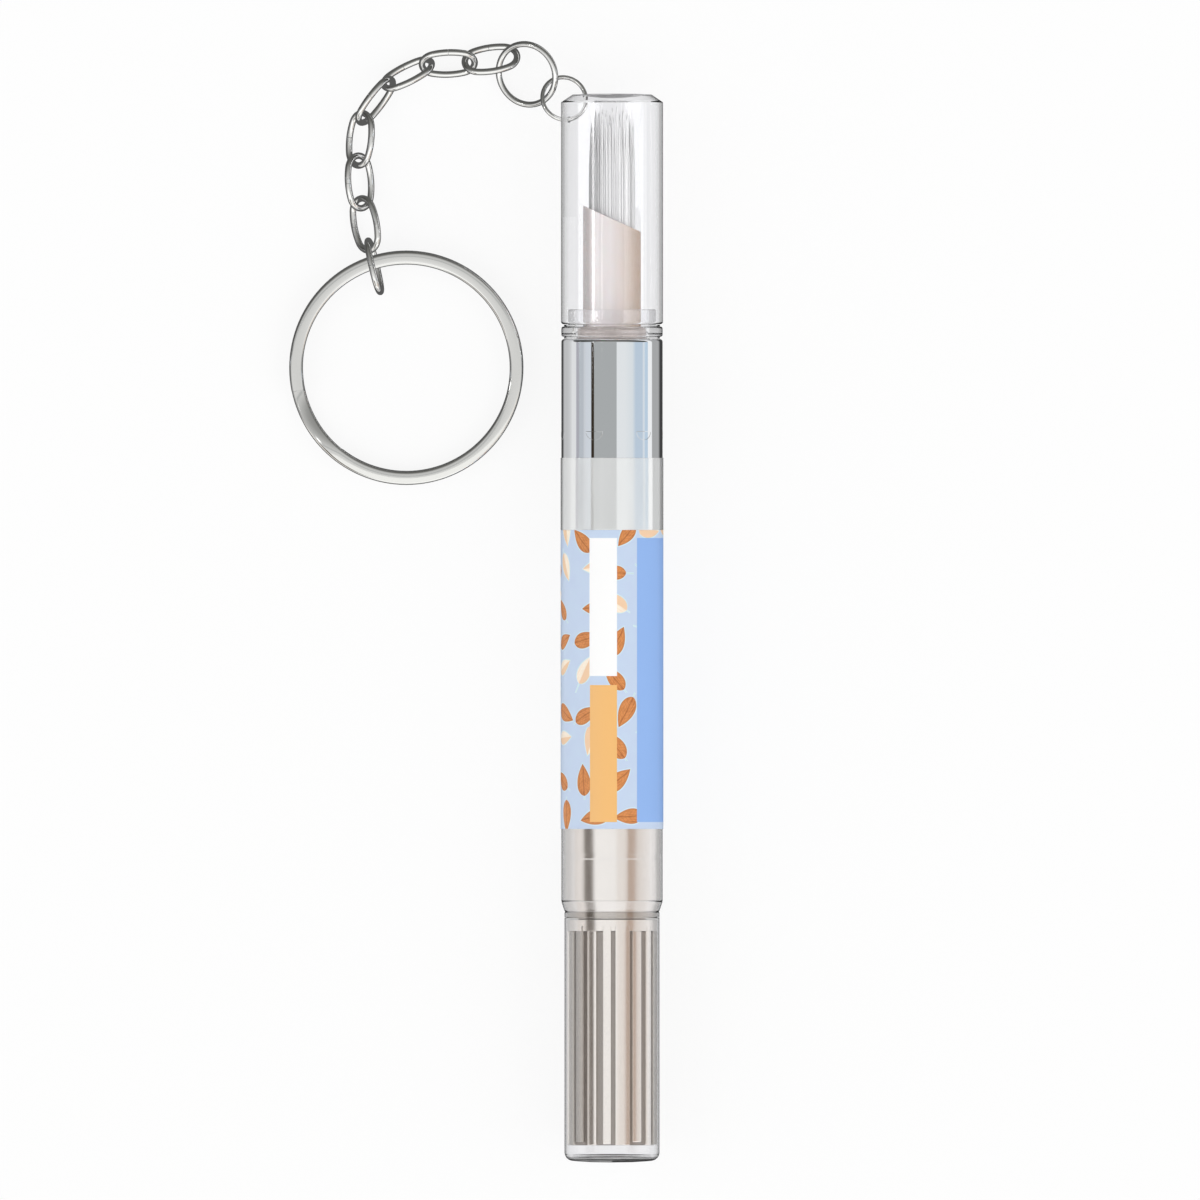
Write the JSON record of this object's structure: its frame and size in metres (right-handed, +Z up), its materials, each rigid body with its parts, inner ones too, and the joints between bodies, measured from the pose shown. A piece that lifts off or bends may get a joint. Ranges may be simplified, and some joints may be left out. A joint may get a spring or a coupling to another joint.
{
  "type": "cuticle oil keyring",
  "caption": "Twist-up cuticle oil pen with a brush tip under a clear cap, hung by a short link chain from a split key ring.",
  "frame": {"origin": "centre of the box's bottom, on the table the keyring lies on", "axes": "+Y along the pen from the knob to the cap, +Z up from the table, +X to the right when the cap points away"},
  "size_m": [0.0478, 0.1436, 0.0132],
  "materials": {
    "clear_plastic": "clear, glossy",
    "mirror_silver": "mirror",
    "satin_silver": "satin",
    "printed_film": "printed, satin",
    "ivory_plastic": "satin",
    "grey_plastic": "satin",
    "bristle_fibre": "fine fibres",
    "steel_wire": "polished",
    "seal_rubber": "matte"
  },
  "bodies": {
    "barrel": {"outer_sleeve": "mirror_silver", "label_film": "printed_film", "inner_barrel": "satin_silver", "neck_collar": "clear_plastic", "brush_holder": "ivory_plastic", "brush_bristles": "bristle_fibre", "feed_tube": "ivory_plastic", "tail_housing": "clear_plastic", "tail_liner": "satin_silver", "drive_nut": "ivory_plastic", "ratchet_ring": "grey_plastic"},
    "knob": {"knob_shell": "clear_plastic", "knob_core": "grey_plastic", "drive_sleeve": "ivory_plastic", "ratchet_pawl_ring": "ivory_plastic"},
    "spindle": {"screw_spindle": "ivory_plastic"},
    "piston": {"piston": "ivory_plastic", "piston_seal_front": "seal_rubber", "piston_seal_rear": "seal_rubber"},
    "cap": {"cap": "clear_plastic"},
    "small_ring": {"small_jump_ring": "steel_wire"},
    "large_ring": {"large_jump_ring": "steel_wire"},
    "link_1": {"chain_link_1": "steel_wire"},
    "link_2": {"chain_link_2": "steel_wire"},
    "link_3": {"chain_link_3": "steel_wire"},
    "link_4": {"chain_link_4": "steel_wire"},
    "link_5": {"chain_link_5": "steel_wire"},
    "link_6": {"chain_link_6": "steel_wire"},
    "link_7": {"chain_link_7": "steel_wire"},
    "link_8": {"chain_link_8": "steel_wire"},
    "key_ring": {"split_ring": "steel_wire"}
  },
  "joints": [
    {"name": "knob_twist", "type": "hinge", "parent": "barrel", "child": "knob", "pos_m": [0.01737, -0.07178, 0.00658], "axis": [0, 1, 0], "range_deg": [0, 3240]},
    {"name": "spindle_slide", "type": "slide", "parent": "knob", "child": "spindle", "axis": [0, 1, 0], "range_m": [0, 0.0361]},
    {"name": "piston_slide", "type": "slide", "parent": "barrel", "child": "piston", "axis": [0, 1, 0], "range_m": [0, 0.0361]},
    {"name": "cap_pull", "type": "slide", "parent": "barrel", "child": "cap", "axis": [0, 1, 0], "range_m": [0, 0.04]},
    {"name": "small_ring_swing", "type": "hinge", "parent": "cap", "child": "small_ring", "pos_m": [0.01124, 0.06442, 0.00358], "axis": [0, 0, 1], "range_deg": [-6, 6]},
    {"name": "large_ring_swing", "type": "hinge", "parent": "small_ring", "child": "large_ring", "pos_m": [0.00887, 0.06596, 0.00358], "axis": [0, 0, 1], "range_deg": [-18, 6]},
    {"name": "link_1_swing", "type": "hinge", "parent": "large_ring", "child": "link_1", "pos_m": [0.0027, 0.0697, 0.00268], "axis": [0, 0, -1], "range_deg": [-6, 20]},
    {"name": "link_2_swing", "type": "hinge", "parent": "link_1", "child": "link_2", "pos_m": [-0.00084, 0.069, 0.00218], "axis": [0, 0, 1], "range_deg": [-20, 6]},
    {"name": "link_3_swing", "type": "hinge", "parent": "link_2", "child": "link_3", "pos_m": [-0.00633, 0.0688, 0.00228], "axis": [0, 0, -1], "range_deg": [-6, 20]},
    {"name": "link_4_swing", "type": "hinge", "parent": "link_3", "child": "link_4", "pos_m": [-0.01123, 0.06631, 0.00251], "axis": [0, 0, 1], "range_deg": [-20, 6]},
    {"name": "link_5_swing", "type": "hinge", "parent": "link_4", "child": "link_5", "pos_m": [-0.01454, 0.06192, 0.00264], "axis": [0, 0, -1], "range_deg": [-8, 20]},
    {"name": "link_6_swing", "type": "hinge", "parent": "link_5", "child": "link_6", "pos_m": [-0.01516, 0.05647, 0.00226], "axis": [0, 0, 1], "range_deg": [-20, 10]},
    {"name": "link_7_swing", "type": "hinge", "parent": "link_6", "child": "link_7", "pos_m": [-0.01473, 0.05099, 0.00201], "axis": [0, 0, -1], "range_deg": [-12, 20]},
    {"name": "link_8_swing", "type": "hinge", "parent": "link_7", "child": "link_8", "pos_m": [-0.01368, 0.04561, 0.00248], "axis": [0, 0, 1], "range_deg": [-20, 20]},
    {"name": "key_ring_swing", "type": "hinge", "parent": "link_8", "child": "key_ring", "pos_m": [-0.01318, 0.04344, 0.00266], "axis": [0, 0, -1], "range_deg": [-20, 20]}
  ],
  "couplings": [
    {"joint": "spindle_slide", "follows": "knob_twist", "m_per_rad": 0.00063662},
    {"joint": "piston_slide", "follows": "knob_twist", "m_per_rad": 0.00063662}
  ]
}
